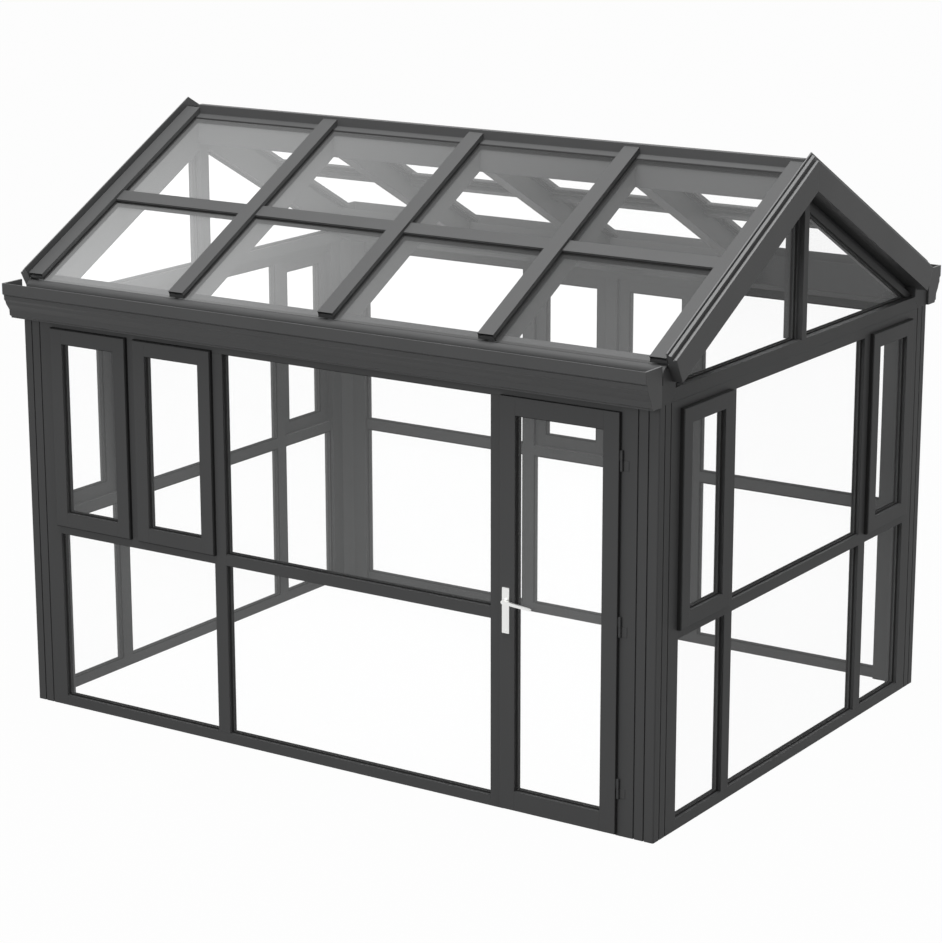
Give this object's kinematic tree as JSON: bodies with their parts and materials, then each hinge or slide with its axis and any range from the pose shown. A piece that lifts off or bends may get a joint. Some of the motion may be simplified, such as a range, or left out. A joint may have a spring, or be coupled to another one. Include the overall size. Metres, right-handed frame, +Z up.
{
  "type": "conservatory",
  "caption": "Free-standing glazed gable conservatory with fluted corner posts, outward sashes, a side-hinged door and moulded gutters.",
  "frame": {"origin": "middle of the building's footprint, on the ground", "axes": "+X along the front wall to the right seen from outside, +Y from the front wall to the back wall, +Z up"},
  "size_m": [4.116, 3.26, 3.238],
  "materials": {
    "frame_metal": "satin powder coat",
    "sash_metal": "satin powder coat",
    "gutter_metal": "satin powder coat",
    "roof_metal": "satin powder coat",
    "wall_glass": "clear",
    "roof_glass": "light grey",
    "handle_metal": "satin anodised",
    "hinge_metal": "satin powder coat"
  },
  "bodies": {
    "frame": {"front_left_post": "frame_metal", "front_right_post": "frame_metal", "back_left_post": "frame_metal", "back_right_post": "frame_metal", "front_base_rail": "frame_metal", "back_base_rail": "frame_metal", "side_base_rails": "frame_metal", "front_mid_rails": "frame_metal", "back_mid_rails": "frame_metal", "side_mid_rails": "frame_metal", "front_head_rail": "frame_metal", "back_head_rail": "frame_metal", "side_head_rails": "frame_metal", "front_mullions": "frame_metal", "back_mullions": "frame_metal", "side_mullions": "frame_metal", "door_jamb": "frame_metal", "front_glass": "wall_glass", "back_glass": "wall_glass", "side_glass": "wall_glass", "sash_stiles": "sash_metal", "sash_rails": "sash_metal", "sash_glass": "wall_glass", "eaves_beams": "frame_metal", "front_gutter": "gutter_metal", "back_gutter": "gutter_metal", "tie_beams": "frame_metal", "king_posts": "frame_metal", "gable_bars": "frame_metal", "gable_glass": "wall_glass", "ridge_beam": "roof_metal", "ridge_cap": "roof_metal", "rafters": "roof_metal", "glazing_caps": "roof_metal", "roof_transoms": "roof_metal", "roof_glass": "roof_glass", "front_verges": "gutter_metal", "back_verges": "gutter_metal", "hinge_pins": "hinge_metal"},
    "door": {"door_stiles": "sash_metal", "door_rails": "sash_metal", "door_glass": "wall_glass", "handle_plates": "handle_metal", "door_hinges": "hinge_metal"},
    "lever": {"door_lever": "handle_metal"}
  },
  "joints": [
    {"name": "door_swing", "type": "hinge", "parent": "frame", "child": "door", "pos_m": [1.8015, -1.492, 1.08], "axis": [0, 0, 1], "range_deg": [0, 90]},
    {"name": "lever_turn", "type": "hinge", "parent": "door", "child": "lever", "pos_m": [1.155, -1.47, 1.115], "axis": [0, 1, 0], "range_deg": [0, 40], "stiffness_Nm_per_rad": 1, "springref_deg": -17.19}
  ]
}
